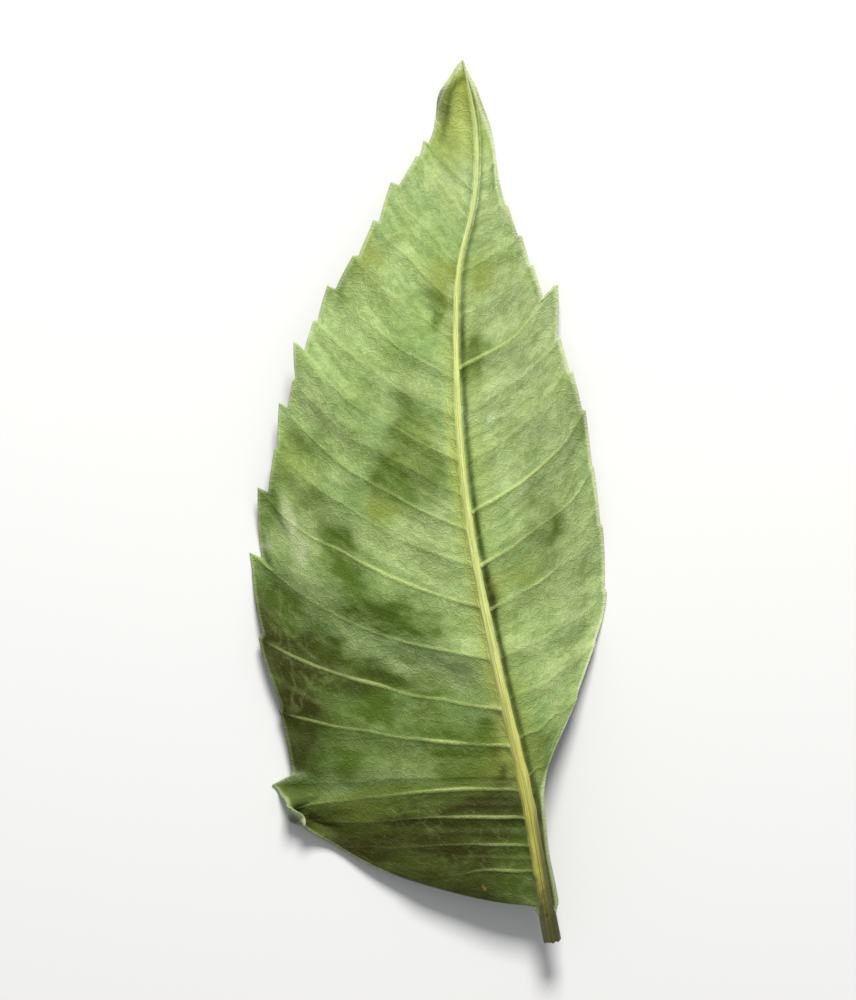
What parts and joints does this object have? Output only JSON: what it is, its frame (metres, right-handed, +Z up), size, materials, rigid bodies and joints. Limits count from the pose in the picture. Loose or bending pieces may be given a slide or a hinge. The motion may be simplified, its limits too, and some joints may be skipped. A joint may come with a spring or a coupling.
{
  "type": "neem leaf",
  "caption": "Dried neem leaflet with a toothed, wavy edge, an oblique base, a raised midrib and side veins, lying with its paler underside up.",
  "frame": {"origin": "middle of the leaf seen from above, on the surface that it lies on", "axes": "+Y from the stalk to the tip, +X to the narrower half of the blade, +Z up, towards the underside of the leaf, which is the face that shows"},
  "size_m": [0.028, 0.0687, 0.0072],
  "materials": {
    "dried_leaf": "matte"
  },
  "bodies": {
    "root": {"neem_leaf": "dried_leaf"}
  },
  "joints": []
}
